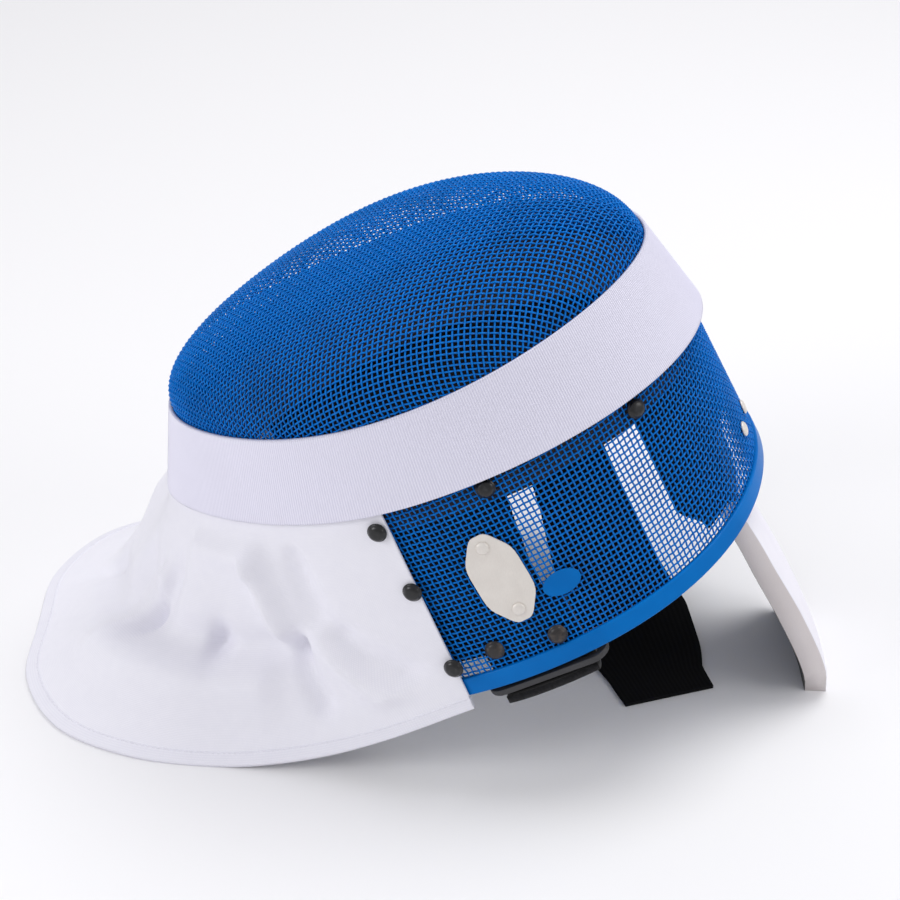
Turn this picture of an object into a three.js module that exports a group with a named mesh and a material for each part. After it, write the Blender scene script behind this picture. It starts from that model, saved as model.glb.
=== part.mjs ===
// A three-weapon fencing mask, lying face up: its crown leans on the end of the back tongue and its
// cloth bib is spread on the floor. Millimetres, +Z up, X from the bib to the crown, Y across the face.
// The origin is on the floor, under the middle of the mask.
import * as THREE from "three";

// How the mask lies.
const MIDDLE_SHIFT = -2.85; // brings the origin under the middle of the bib-to-tongue length
const RIM_TILT = THREE.MathUtils.degToRad(27); // the opening's plane against the floor
const CROWN_RIM = new THREE.Vector3(183.5, 0, 131); // the rim's highest point, at the crown

// Three level rings of the wire wall, in the head frame: x along the opening from the crown's rim
// (0) to the chin (negative), y across, z out of the opening towards the face. Each ring runs
// through crown and chin, is widest at widestX, and its two ends are drawn in by the pinches.
const RINGS = [
  { crown: [0, 0], chin: [-310, 0], widestX: -135, halfWidth: 119, crownPinch: -0.12, chinPinch: 0.2 },
  { crown: [4, 99], chin: [-294, 121], widestX: -144, halfWidth: 96.5, crownPinch: 0.02, chinPinch: 0.33 },
  { crown: [0, 151.6], chin: [-270, 168], widestX: -135, halfWidth: 96, crownPinch: 0.17, chinPinch: 0.25 },
];
const RIM = 0; // ring levels
const TRIM_LOWER = 1;
const TRIM_UPPER = 2;
const APEX = 3;
const APEX_X = -97;
const APEX_BASE = 160; // height of the trim's upper ring over the opening, at the apex
const FACE_RISE = 47; // from there to the top of the face
const FACE_FULLNESS = 0.8; // under 1 fills the face's shoulders out

// Thicknesses and gaps.
const MESH_WALL = 2;
const GAP = 0.4;
const TRIM_GAP = 1.1;
const RIM_HEIGHT = 10;
const RIM_PROUD = 1;
const RIM_INSIDE = 2.6;
const TRIM_WALL = 2;
const TRIM_LIFT = 3.8; // the trim's lower edge stands off the mesh, over the bib's top edge
const MESH_JOINT = 1.5; // level behind the trim where the face and side meshes meet
const MESH_JOINT_GAP = 0.02;
const BIB_WALL = 1.6;
const BIB_LIFT = 0.6; // the bib's inner side off the mesh, behind the trim
const BIB_RIM_LIFT = 1.8; // and at the rim, where it clears the steel band
const BIB_TOP_LEVEL = 1.08; // the bib is tucked this far up behind the trim
const BIB_HANG = 36; // the cloth leaves the trim straight for about this long
const BIB_SPREAD = 46; // and lies this flat at its hem
const BIB_SPREAD_RISE = 20;
const BIB_CORNER_DROP = 0.06;
const PAD_LIFT = 3; // the pads' backs off the wall's middle surface

// Where the bib's front edges cross the trim and the rim, as angles round the head from the crown.
const degrees = THREE.MathUtils.degToRad;
const BIB_EDGE_AT_TRIM = degrees(98);
const BIB_EDGE_AT_RIM = degrees(101.5);
const SIDE_MESH_END = degrees(114);

// The bib's hem on the floor, from under the chin (turn 0) round to its front corner (turn 1).
const HEM = [
  { turn: 0, x: -219, y: 0, z: 0.9 },
  { turn: 0.13, x: -217, y: 48, z: 0.9 },
  { turn: 0.275, x: -193, y: 90, z: 0.9 },
  { turn: 0.42, x: -150, y: 112, z: 0.9 },
  { turn: 0.57, x: -98, y: 118, z: 1.2 },
  { turn: 0.71, x: -50, y: 119, z: 10 },
  { turn: 0.85, x: -5, y: 120, z: 28 },
  { turn: 1, x: 38, y: 121, z: 54 },
];
// The bib's folds, each a stroke from one place to another. A place is the turn round the bib
// (negative on the wearer's left) and the share of the way down it. Width and lift are millimetres.
const FOLDS = [
  { turn: -0.13, down: 0.5, toTurn: -0.72, toDown: 0.52, width: 10, lift: -5 },
  { turn: -0.18, down: 0.28, toTurn: -0.34, toDown: 0.4, width: 16, lift: -6 },
  { turn: -0.28, down: 0.3, toTurn: -0.28, toDown: 0.36, width: 7, lift: 5 },
  { turn: -0.63, down: 0.12, toTurn: -0.7, toDown: 0.46, width: 9, lift: 5 },
  { turn: -0.72, down: 0.55, toTurn: -0.74, toDown: 0.85, width: 8, lift: -4 },
  { turn: -0.82, down: 0.46, toTurn: -0.9, toDown: 0.76, width: 7, lift: -4 },
  { turn: -0.77, down: 0.55, toTurn: -0.9, toDown: 0.86, width: 8, lift: 4 },
  { turn: 0.24, down: 0.36, toTurn: 0.58, toDown: 0.38, width: 26, lift: 12 },
  { turn: 0.3, down: 0.24, toTurn: 0.62, toDown: 0.26, width: 13, lift: 8 },
  { turn: 0.1, down: 0.75, toTurn: 0.62, toDown: 0.72, width: 12, lift: -5 },
  { turn: 0.76, down: 0.42, toTurn: 0.86, toDown: 0.8, width: 9, lift: -4 },
];
const BIB_ROUND = 330; // the hem's length on one side, for the folds' widths
const BIB_DROP = 130; // the bib's depth, likewise

// The back tongue's middle line, from its foot inside the crown down to the floor, at y = 0.
const TONGUE_LINE = [
  { x: 153, z: 164, thickness: 5 },
  { x: 156.5, z: 145, thickness: 7 },
  { x: 164, z: 121, thickness: 12 },
  { x: 178, z: 90, thickness: 13 },
  { x: 196.5, z: 55, thickness: 14 },
  { x: 210, z: 25, thickness: 14 },
  { x: 215.5, z: 7, thickness: 13.5 },
];
const TONGUE_HALF_WIDTH = 41;
const TONGUE_TWIST = 0.19; // its edge on the wearer's left stands further out
const TONGUE_HOLLOW = 3; // how far its side edges curve in towards the head

// The strap's middle line, from the ring on the wearer's right down to its free end on the floor.
const STRAP_LINE = [
  { x: 77, y: 100, z: 60, width: 48 },
  { x: 87, y: 80, z: 45, width: 50 },
  { x: 101, y: 46, z: 25, width: 57 },
  { x: 117.5, y: 14, z: 9, width: 68 },
  { x: 126.5, y: -10, z: 2.2, width: 63 },
  { x: 132, y: -28, z: 1.1, width: 54 },
  { x: 139, y: -46, z: 1.1, width: 52 },
];
const STRAP_WALL = 2;
const ROUND_COLUMNS = 60; // facets round the whole head

// Fastenings, as an angle round the head and a height up the wall. Both sides have the snaps.
const SNAPS = [
  { name: "bib_snap_upper", angle: 100.6, height: 104, lift: 4 },
  { name: "bib_snap_middle", angle: 100.4, height: 67, lift: 4.2 },
  { name: "bib_snap_lower", angle: 100.6, height: 20, lift: 5.6 },
  { name: "trim_snap_front", angle: 77.3, height: 104, lift: 0.9 },
  { name: "trim_snap_crown", angle: 40.5, height: 96, lift: 0.4 },
  { name: "rim_snap_front", angle: 92.9, height: 21, lift: 0.4 },
  { name: "rim_snap_back", angle: 79.6, height: 16.4, lift: 0.4 },
];
const SNAP_RADIUS = 5.2;
const SNAP_RISE = 2.8;
const PLATE = { angle: 84, height: 57, length: 52, width: 28, thickness: 1, lift: 0.5, rivets: 38 };
const PATCH = { angle: 73.2, height: 41, length: 21, width: 13, thickness: 0.8 };
const RING = { x: -127, length: 68, reach: 18, bar: 4, drop: 3, thickness: 3.5 };

const blueWire = new THREE.MeshStandardMaterial({ color: 0x0a63b4, roughness: 0.45, metalness: 0.1 });
const blueEnamel = new THREE.MeshStandardMaterial({ color: 0x0e68bf, roughness: 0.35, metalness: 0.1 });
const whiteRib = new THREE.MeshStandardMaterial({ color: 0xdcdaea, roughness: 0.85 });
const whiteCloth = new THREE.MeshStandardMaterial({ color: 0xe2e1ec, roughness: 0.9 });
const blackCloth = new THREE.MeshStandardMaterial({ color: 0x151517, roughness: 0.95 });
const blackEnamel = new THREE.MeshStandardMaterial({ color: 0x1a1a1c, roughness: 0.35, metalness: 0.3 });
const greyPlastic = new THREE.MeshStandardMaterial({ color: 0x3a3a3e, roughness: 0.5 });
const bareMetal = new THREE.MeshStandardMaterial({ color: 0xcfccc6, roughness: 0.4, metalness: 0.8 });
const paleLeather = new THREE.MeshStandardMaterial({ color: 0xded8d2, roughness: 0.7 });

// The head frame, as a group that everything hard on the mask hangs in.
const head = new THREE.Group();
head.position.copy(CROWN_RIM);
head.rotation.y = -RIM_TILT;
head.updateMatrixWorld(true);
const toFloorFrame = (point) => point.clone().applyMatrix4(head.matrixWorld);

// A point on one ring, at an angle round the head from the crown, in the head frame.
function ringPoint(ring, angle) {
  const { crown, chin, widestX, halfWidth, crownPinch, chinPinch } = ring;
  const along = Math.cos(angle);
  const reach = along > 0 ? crown[0] - widestX : widestX - chin[0];
  const pinch = along > 0 ? crownPinch : chinPinch;
  const x = widestX + reach * along;
  const y = halfWidth * Math.sin(angle) * (1 - pinch * along * along);
  const share = (x - chin[0]) / (crown[0] - chin[0]);
  return new THREE.Vector3(x, y, chin[1] + share * (crown[1] - chin[1]));
}

// The wall's middle surface at an angle and a level: straight between the rings, a dome above them.
function wallBase(angle, level) {
  if (level <= TRIM_UPPER) {
    const lower = Math.min(Math.max(Math.floor(level), RIM), TRIM_LOWER);
    return ringPoint(RINGS[lower], angle).lerp(ringPoint(RINGS[lower + 1], angle), level - lower);
  }
  const edge = ringPoint(RINGS[TRIM_UPPER], angle);
  const climb = (Math.min(level - TRIM_UPPER, 1) * Math.PI) / 2;
  const spread = Math.max(Math.cos(climb), 0) ** FACE_FULLNESS;
  return new THREE.Vector3(
    APEX_X + (edge.x - APEX_X) * spread,
    edge.y * spread,
    edge.z * spread + APEX_BASE * (1 - spread) + FACE_RISE * Math.sin(climb),
  );
}

// The wall's outward normal, from two short steps on the surface.
function wallNormal(angle, level) {
  const step = 0.01;
  const low = Math.min(level, APEX - 2 * step);
  const around = wallBase(angle + step, low).sub(wallBase(angle - step, low));
  const up = wallBase(angle, low + step).sub(wallBase(angle, low - step));
  return around.cross(up).normalize();
}

function wallPoint(angle, level, out) {
  const normal = level > APEX - 0.001 ? new THREE.Vector3(0, 0, 1) : wallNormal(angle, level);
  return wallBase(angle, level).addScaledVector(normal, out);
}

// The level that lies a given height up the wall from the rim.
function levelAbove(angle, height) {
  return height / wallBase(angle, RIM).distanceTo(wallBase(angle, TRIM_LOWER));
}

// A closed body between two skins over a grid: skin(u, v, 1) is the outer skin and skin(u, v, 0)
// the inner one. Seen from outside, u runs to the right where v runs up. A ring closes in u.
function slab(skin, columns, rows, isRing = false) {
  const positions = [];
  const pushTriangle = (a, b, c) => {
    const flat = a.distanceTo(b) < 1e-5 || b.distanceTo(c) < 1e-5 || c.distanceTo(a) < 1e-5;
    if (!flat) positions.push(...a.toArray(), ...b.toArray(), ...c.toArray());
  };
  const pushQuad = (a, b, c, d) => {
    pushTriangle(a, b, c);
    pushTriangle(a, c, d);
  };
  const sheetOf = (side) => {
    const sheet = [];
    for (let i = 0; i <= columns; i += 1) {
      const column = isRing && i === columns ? sheet[0] : [];
      for (let j = 0; j <= rows && column.length <= rows; j += 1) {
        column.push(skin(i / columns, j / rows, side));
      }
      sheet.push(column);
    }
    return sheet;
  };
  const outer = sheetOf(1);
  const inner = sheetOf(0);
  for (let i = 0; i < columns; i += 1) {
    for (let j = 0; j < rows; j += 1) {
      pushQuad(outer[i][j], outer[i + 1][j], outer[i + 1][j + 1], outer[i][j + 1]);
      pushQuad(inner[i][j], inner[i][j + 1], inner[i + 1][j + 1], inner[i + 1][j]);
    }
    pushQuad(inner[i][0], inner[i + 1][0], outer[i + 1][0], outer[i][0]);
    pushQuad(outer[i][rows], outer[i + 1][rows], inner[i + 1][rows], inner[i][rows]);
  }
  for (let j = 0; j < rows && !isRing; j += 1) {
    pushQuad(inner[0][j], outer[0][j], outer[0][j + 1], inner[0][j + 1]);
    pushQuad(outer[columns][j], inner[columns][j], inner[columns][j + 1], outer[columns][j + 1]);
  }
  const geometry = new THREE.BufferGeometry();
  geometry.setAttribute("position", new THREE.Float32BufferAttribute(positions, 3));
  geometry.computeVertexNormals();
  return geometry;
}

function addPiece(group, name, geometry, material) {
  const mesh = new THREE.Mesh(geometry, material);
  mesh.name = name;
  group.add(mesh);
  return mesh;
}

const mix = (from, to, share) => from + (to - from) * share;
const smooth = (from, to, value) =>
  from < to ? THREE.MathUtils.smoothstep(value, from, to) : 1 - THREE.MathUtils.smoothstep(value, to, from);

// The domed face mesh, from behind the trim up to the apex.
function faceMesh() {
  const bottom = MESH_JOINT + MESH_JOINT_GAP;
  const hidden = 0.12;
  const levelAt = (v) => {
    if (v < hidden) return mix(bottom, TRIM_UPPER, v / hidden);
    return mix(TRIM_UPPER, APEX, (v - hidden) / (1 - hidden));
  };
  const skin = (u, v, side) => wallPoint(2 * Math.PI * u, levelAt(v), MESH_WALL * (side - 1));
  return slab(skin, ROUND_COLUMNS, 12, true);
}

// The side mesh: a strip round the crown and ears, whose ends lie under the bib.
function sideMesh() {
  const skin = (u, v, side) => {
    const angle = mix(-SIDE_MESH_END, SIDE_MESH_END, u);
    const bottom = levelAbove(angle, RIM_HEIGHT + GAP);
    return wallPoint(angle, mix(bottom, MESH_JOINT, v), MESH_WALL * (side - 1));
  };
  return slab(skin, 40, 5);
}

// The flat steel band folded over the side mesh's lower edge.
function rimBand() {
  const skin = (u, v, side) => {
    const angle = mix(-SIDE_MESH_END, SIDE_MESH_END, u);
    const out = mix(-RIM_INSIDE, RIM_PROUD, side);
    return wallPoint(angle, levelAbove(angle, RIM_HEIGHT * v), out);
  };
  return slab(skin, 56, 1);
}

// The ribbed cloth band that covers the joint of the two meshes all the way round.
function trimBand() {
  const skin = (u, v, side) => {
    const lift = mix(TRIM_LIFT, TRIM_GAP, v);
    return wallPoint(2 * Math.PI * u, mix(TRIM_LOWER, TRIM_UPPER, v), lift + TRIM_WALL * side);
  };
  return slab(skin, ROUND_COLUMNS, 3, true);
}

// The hem's place at a turn round the bib, from -1 on the wearer's left to 1 on the right.
const hemCurve = new THREE.CatmullRomCurve3(HEM.map(({ x, y, z }) => new THREE.Vector3(x, y, z)));
function hemPoint(turn) {
  const reach = Math.abs(turn);
  const last = HEM.length - 2;
  const row = Math.min(HEM.findLastIndex((place) => place.turn <= reach), last);
  const share = (reach - HEM[row].turn) / (HEM[row + 1].turn - HEM[row].turn);
  const point = hemCurve.getPoint((row + share) / (HEM.length - 1));
  point.y *= Math.sign(turn) || 1;
  return point;
}

// How far the folds lift the bib at a turn and a share of the way down.
function foldLift(turn, down) {
  const here = new THREE.Vector2(turn * BIB_ROUND, down * BIB_DROP);
  let lift = 0;
  for (const fold of FOLDS) {
    const start = new THREE.Vector2(fold.turn * BIB_ROUND, fold.down * BIB_DROP);
    const stroke = new THREE.Vector2(fold.toTurn * BIB_ROUND, fold.toDown * BIB_DROP).sub(start);
    const offset = here.clone().sub(start);
    const along = THREE.MathUtils.clamp(offset.dot(stroke) / stroke.lengthSq(), 0, 1);
    const away = offset.addScaledVector(stroke, -along).length();
    lift += fold.lift * Math.exp(-((away / fold.width) ** 2));
  }
  return lift * smooth(0.1, 0.26, down) * smooth(1, 0.88, down) * smooth(1, 0.93, Math.abs(turn));
}

// The bib's middle surface: it hangs straight from the trim, then runs out flat to its hem.
function bibBase(turn, down) {
  const side = Math.sign(turn) || 1;
  const reach = Math.abs(turn);
  const atTrim = side * mix(Math.PI, BIB_EDGE_AT_TRIM, reach);
  const top = toFloorFrame(wallPoint(atTrim, BIB_TOP_LEVEL, BIB_LIFT + BIB_WALL / 2));
  const hem = hemPoint(turn);
  const fall = top.clone().sub(toFloorFrame(wallPoint(atTrim, BIB_TOP_LEVEL + 0.1, BIB_LIFT))).normalize();
  const inward = top.clone().sub(hem).setZ(0).normalize();
  const hang = top.clone().addScaledVector(fall, BIB_HANG);
  const spread = hem.clone().addScaledVector(inward, BIB_SPREAD).setZ(hem.z + BIB_SPREAD_RISE);
  const straight = smooth(0.72, 1, reach);
  hang.lerp(top.clone().lerp(hem, 1 / 3), straight);
  spread.lerp(top.clone().lerp(hem, 2 / 3), straight);
  const skirt = new THREE.CubicBezierCurve3(top, hang, spread, hem).getPoint(down);
  // Near its front edge the bib lies flat on the side mesh.
  const onMesh = smooth(0.84, 0.965, reach);
  const atRim = side * BIB_EDGE_AT_RIM;
  const level = mix(BIB_TOP_LEVEL, -BIB_CORNER_DROP, down);
  const lift = mix(BIB_LIFT, BIB_RIM_LIFT, smooth(0, 0.5, down)) + BIB_WALL / 2;
  const edge = toFloorFrame(wallPoint(mix(atTrim, atRim, down), level, lift));
  return skirt.lerp(edge, onMesh);
}

function bibPoint(turn, down, out) {
  const step = 0.004;
  const t = THREE.MathUtils.clamp(turn, step - 1, 1 - step);
  const d = THREE.MathUtils.clamp(down, step, 1 - step);
  const across = bibBase(t + step, d).sub(bibBase(t - step, d));
  const downward = bibBase(t, d + step).sub(bibBase(t, d - step));
  const normal = across.cross(downward).normalize();
  const point = bibBase(turn, down).addScaledVector(normal, out + foldLift(turn, down));
  point.z = Math.max(point.z, 0);
  return point;
}

// The bib: one cloth skirt round the chin, with its ends snapped flat on the side mesh.
function bib() {
  const skin = (u, v, side) => bibPoint(mix(1, -1, u), 1 - v, BIB_WALL * (side - 0.5));
  return slab(skin, 72, 14);
}

// The padding ring behind the trim.
function paddingRing() {
  const skin = (u, v, side) => {
    const belly = 3 * Math.sin(Math.PI * v);
    return wallPoint(2 * Math.PI * u, mix(0.88, 1.62, v), -PAD_LIFT - (1 - side) * (5 + belly));
  };
  return slab(skin, 40, 3, true);
}

// A pad on the wall's inner side, between two angles that may lean with the height.
function wallPad(startAt, endAt, bottomAt, thickness) {
  const skin = (u, v, side) => {
    const angle = mix(startAt(v), endAt(v), u);
    const belly = 0.4 + 0.6 * Math.sin(Math.PI * u) * Math.sin(Math.PI * mix(0.1, 0.9, v));
    return wallPoint(angle, mix(bottomAt(angle), 0.87, v), -PAD_LIFT - (1 - side) * thickness * belly);
  };
  return slab(skin, 24, 5);
}

function crownPad() {
  const end = (v) => degrees(mix(35, 41.5, smooth(0, 0.3, v)));
  const bottom = (angle) => mix(0.46, 0.17, smooth(degrees(21), degrees(31), Math.abs(angle)));
  return wallPad((v) => -end(v), end, bottom, 10);
}

function cheekPad(side) {
  const front = (v) => side * degrees(side > 0 ? 47 : mix(80, 74.5, v));
  const back = () => side * degrees(138);
  const bottom = () => 0.42;
  return side > 0 ? wallPad(front, back, bottom, 14) : wallPad(back, front, bottom, 14);
}

// The padded back tongue, with a flat sole where it stands on the floor.
function tongue() {
  const points = TONGUE_LINE.map(({ x, z }) => new THREE.Vector3(x, 0, z));
  const line = new THREE.CatmullRomCurve3(points, false, "centripetal");
  const skin = (u, v, side) => {
    const middle = line.getPoint(v);
    const tangent = line.getTangent(v);
    const outward = new THREE.Vector3(-tangent.z, 0, tangent.x);
    const row = Math.min(Math.floor(v * (TONGUE_LINE.length - 1)), TONGUE_LINE.length - 2);
    const share = v * (TONGUE_LINE.length - 1) - row;
    const thickness = mix(TONGUE_LINE[row].thickness, TONGUE_LINE[row + 1].thickness, share);
    const halfWidth = TONGUE_HALF_WIDTH - 5 * smooth(0.9, 1, v) - 8 * smooth(0.2, 0, v);
    const edge = 1 - 0.08 * (2 * u - 1) ** 6;
    const point = middle.addScaledVector(outward, thickness * edge * (side - 0.5));
    point.y = halfWidth * (1 - 2 * u);
    point.x -= TONGUE_HOLLOW * (2 * u - 1) ** 2 + TONGUE_TWIST * point.y * smooth(0.1, 0.5, v);
    if (v === 1) point.z = 0;
    return point;
  };
  return slab(skin, 10, 14);
}

// Places a piece on the wall's outer side: its own z points away from the wall, its y up the wall.
function placeOnWall(mesh, angle, height, out) {
  const level = levelAbove(angle, height);
  const normal = wallNormal(angle, level);
  const up = wallBase(angle, level + 0.02).sub(wallBase(angle, level - 0.02));
  const across = up.clone().cross(normal).normalize();
  const frame = new THREE.Matrix4().makeBasis(across, normal.clone().cross(across), normal);
  mesh.quaternion.setFromRotationMatrix(frame);
  mesh.position.copy(wallPoint(angle, level, out));
}

// A domed disc standing on z = 0.
function domedDisc(radius, rise, sides) {
  const profile = [
    new THREE.Vector2(0, 0),
    new THREE.Vector2(radius, 0),
    new THREE.Vector2(radius, rise * 0.25),
    new THREE.Vector2(radius * 0.82, rise * 0.68),
    new THREE.Vector2(radius * 0.45, rise * 0.94),
    new THREE.Vector2(0, rise),
  ];
  return new THREE.LatheGeometry(profile, sides).rotateX(Math.PI / 2);
}

function addSnaps() {
  for (const [sideName, side] of [["left", -1], ["right", 1]]) {
    for (const { name, angle, height, lift } of SNAPS) {
      const snap = addPiece(head, `${name}_${sideName}`, domedDisc(SNAP_RADIUS, SNAP_RISE, 12), blackEnamel);
      placeOnWall(snap, side * degrees(angle), height, lift);
    }
  }
}

// The plain plate on the wearer's left: a long hexagon with rounded corners, and its two rivets.
function addPlate() {
  const { angle, height, length, width, thickness, lift, rivets } = PLATE;
  const corners = [
    [0.16, 0.5], [0.5, 0.24], [0.5, -0.24], [0.16, -0.5],
    [-0.16, -0.5], [-0.5, -0.24], [-0.5, 0.24], [-0.16, 0.5],
  ].map(([x, y]) => new THREE.Vector2(x * width, y * length));
  const outline = new THREE.Shape();
  const rounding = 0.25;
  corners.forEach((corner, i) => {
    const before = corners[(i + 7) % 8];
    const after = corners[(i + 1) % 8];
    const start = corner.clone().lerp(before, rounding);
    const end = corner.clone().lerp(after, rounding);
    if (i === 0) outline.moveTo(start.x, start.y);
    else outline.lineTo(start.x, start.y);
    outline.quadraticCurveTo(corner.x, corner.y, end.x, end.y);
  });
  outline.closePath();
  const shape = new THREE.ExtrudeGeometry(outline, { depth: thickness, bevelEnabled: false, curveSegments: 3 });
  const at = -degrees(angle);
  placeOnWall(addPiece(head, "side_plate", shape, bareMetal), at, height, lift);
  for (const [name, shift] of [["plate_rivet_upper", 0.5], ["plate_rivet_lower", -0.5]]) {
    const rivet = addPiece(head, name, domedDisc(3.5, 1.6, 12), bareMetal);
    placeOnWall(rivet, at, height, lift + thickness + 0.3);
    rivet.translateY(shift * rivets);
  }
}

// The solid enamelled oval on the side mesh.
function addPatch() {
  const outline = new THREE.Shape().absellipse(0, 0, PATCH.length / 2, PATCH.width / 2, 0, 2 * Math.PI);
  const shape = new THREE.ExtrudeGeometry(outline, {
    depth: PATCH.thickness,
    bevelEnabled: false,
    curveSegments: 24,
  });
  placeOnWall(addPiece(head, "oval_patch", shape, blueEnamel), -degrees(PATCH.angle), PATCH.height, 0.4);
}

// A strap ring under the rim on one side, lying in the opening's plane, and the webbing that
// hangs through it: a folded tab, held inside the side mesh by the two rim snaps.
function addRing(sideName, side) {
  const { x, length, reach, bar, drop, thickness } = RING;
  const outline = new THREE.Shape();
  outline.absellipse(length / 2 - reach / 2, 0, reach / 2, reach / 2, -Math.PI / 2, Math.PI / 2);
  outline.absellipse(reach / 2 - length / 2, 0, reach / 2, reach / 2, Math.PI / 2, 1.5 * Math.PI);
  outline.closePath();
  const slot = new THREE.Path();
  const corner = [length / 2 - 1.4 * bar, reach / 2 - bar];
  slot.moveTo(corner[0], corner[1]);
  slot.lineTo(-corner[0], corner[1]);
  slot.lineTo(-corner[0], -corner[1]);
  slot.lineTo(corner[0], -corner[1]);
  slot.closePath();
  outline.holes.push(slot);
  const shape = new THREE.ExtrudeGeometry(outline, { depth: thickness, bevelEnabled: false, curveSegments: 6 });
  const ring = addPiece(head, `strap_ring_${sideName}`, shape, greyPlastic);
  const reachOut = ringPoint(RINGS[RIM], Math.acos((x - RINGS[RIM].widestX) / -RINGS[RIM].widestX)).y;
  ring.position.set(x, side * (reachOut - reach / 2 - 1), -drop - thickness);
}

const TAB_LINE = [
  { out: -5.2, z: 40 },
  { out: -5.6, z: 14 },
  { out: -8, z: 1 },
  { out: -10, z: -6 },
  { out: -9, z: -10.5 },
  { out: -5.5, z: -11.8 },
  { out: -0.5, z: -10.6 },
];
const TAB = { width: 52, thickness: 4 };

function addTab(sideName, side) {
  const line = new THREE.CatmullRomCurve3(TAB_LINE.map(({ out, z }) => new THREE.Vector3(0, out, z)));
  const skin = (u, v, face) => {
    const middle = line.getPoint(1 - v);
    const tangent = line.getTangent(1 - v);
    const outward = new THREE.Vector3(0, -tangent.z, tangent.y);
    const offset = middle.addScaledVector(outward, TAB.thickness * (face - 0.5));
    const x = RING.x + TAB.width * (u - 0.5) * -side;
    const angle = Math.acos((x - RINGS[RIM].widestX) / -RINGS[RIM].widestX);
    const wall = wallBase(angle, Math.max(offset.z, 0) / 110);
    return new THREE.Vector3(x, side * (wall.y + offset.y), offset.z);
  };
  addPiece(head, `ring_webbing_${sideName}`, slab(skin, 6, 8), blackCloth);
}

// The long strap from the ring on the wearer's right to its free end on the floor.
function addStrap() {
  const line = new THREE.CatmullRomCurve3(STRAP_LINE.map(({ x, y, z }) => new THREE.Vector3(x, y, z)));
  const skin = (u, v, side) => {
    const middle = line.getPoint(v);
    const tangent = line.getTangent(v);
    const level = new THREE.Vector3(-tangent.y, tangent.x, 0).normalize();
    const tilted = new THREE.Vector3(Math.cos(RIM_TILT), 0, Math.sin(RIM_TILT));
    const across = tilted.lerp(level, smooth(0, 0.6, v));
    across.addScaledVector(tangent, -across.dot(tangent)).normalize();
    const row = Math.min(Math.floor(v * (STRAP_LINE.length - 1)), STRAP_LINE.length - 2);
    const share = v * (STRAP_LINE.length - 1) - row;
    const width = mix(STRAP_LINE[row].width, STRAP_LINE[row + 1].width, share);
    const upward = across.clone().cross(tangent);
    const point = middle.addScaledVector(upward, STRAP_WALL * (side - 0.5));
    point.addScaledVector(across, width * (u - 0.5));
    point.z = Math.max(point.z, 0);
    return point;
  };
  addPiece(mask, "strap", slab(skin, 4, 18), blackCloth);
}

// The rivets that hold the tongue's foot in the crown.
function addCrownRivets() {
  for (const [name, angle] of [["crown_rivet_left", -5], ["crown_rivet_right", 5]]) {
    placeOnWall(addPiece(head, name, domedDisc(4, 2, 12), bareMetal), degrees(angle), 27, 0.4);
  }
}

const mask = new THREE.Group();
mask.position.x = MIDDLE_SHIFT;
mask.add(head);
addPiece(head, "face_mesh", faceMesh(), blueWire);
addPiece(head, "side_mesh", sideMesh(), blueWire);
addPiece(head, "rim_band", rimBand(), blueEnamel);
addPiece(head, "trim_band", trimBand(), whiteRib);
addPiece(mask, "bib", bib(), whiteCloth);
addPiece(head, "padding_ring", paddingRing(), blackCloth);
addPiece(head, "crown_pad", crownPad(), blackCloth);
addPiece(head, "cheek_pad_left", cheekPad(-1), blackCloth);
addPiece(head, "cheek_pad_right", cheekPad(1), blackCloth);
addPiece(mask, "tongue", tongue(), paleLeather);
addSnaps();
addPlate();
addPatch();
addCrownRivets();
for (const [sideName, side] of [["left", -1], ["right", 1]]) {
  addRing(sideName, side);
  addTab(sideName, side);
}
addStrap();

export default mask;
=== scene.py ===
import math
import bpy
import bmesh
import numpy as np
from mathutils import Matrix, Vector


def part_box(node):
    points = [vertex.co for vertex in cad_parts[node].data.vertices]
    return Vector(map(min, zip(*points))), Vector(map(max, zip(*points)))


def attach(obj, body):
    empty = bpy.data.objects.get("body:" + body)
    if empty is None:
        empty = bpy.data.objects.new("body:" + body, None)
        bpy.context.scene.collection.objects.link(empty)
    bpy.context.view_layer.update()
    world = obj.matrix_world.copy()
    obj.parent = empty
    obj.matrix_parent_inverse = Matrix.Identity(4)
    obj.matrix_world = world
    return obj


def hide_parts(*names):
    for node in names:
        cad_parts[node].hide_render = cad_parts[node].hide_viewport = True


# Fencing mask lying face up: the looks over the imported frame.
# Shapes are worked out in millimetres and go into the meshes in metres.
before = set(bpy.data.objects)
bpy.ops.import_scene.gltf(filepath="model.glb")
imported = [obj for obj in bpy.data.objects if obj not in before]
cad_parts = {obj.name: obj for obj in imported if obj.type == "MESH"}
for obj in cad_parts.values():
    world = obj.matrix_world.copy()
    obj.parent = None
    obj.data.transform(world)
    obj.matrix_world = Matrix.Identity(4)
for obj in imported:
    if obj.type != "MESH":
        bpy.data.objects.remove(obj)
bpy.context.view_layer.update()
mm = 0.001


# camera, lights, floor

studio = {
    "aim": (0.0127, 0.0, 0.129), "turn": 3.0, "lift": 34.0, "away": 1.5, "lens": 111.1,
    "floor": 8.0, "floorPaint": (0.90, 0.895, 0.905), "sky": (0.93, 0.93, 0.96), "skyPower": 0.6,
}
softLights = [  # name, place, aim, size, power
    ("topSoftbox", (0.45, 0.45, 1.6), (0.0, 0.0, 0.1), 0.9, 12.0),
    ("leftSoftbox", (-1.6, -0.9, 1.1), (0.0, 0.0, 0.1), 1.0, 12.0),
    ("rightSoftbox", (1.7, -0.5, 1.2), (0.05, 0.0, 0.1), 1.0, 6.5),
]


def linked(name, data):
    made = bpy.data.objects.new(name, data)
    bpy.context.scene.collection.objects.link(made)
    return made


def aimAt(thing, target):
    thing.rotation_mode = "QUATERNION"
    thing.rotation_quaternion = (Vector(target) - thing.location).to_track_quat("-Z", "Y")


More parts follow.
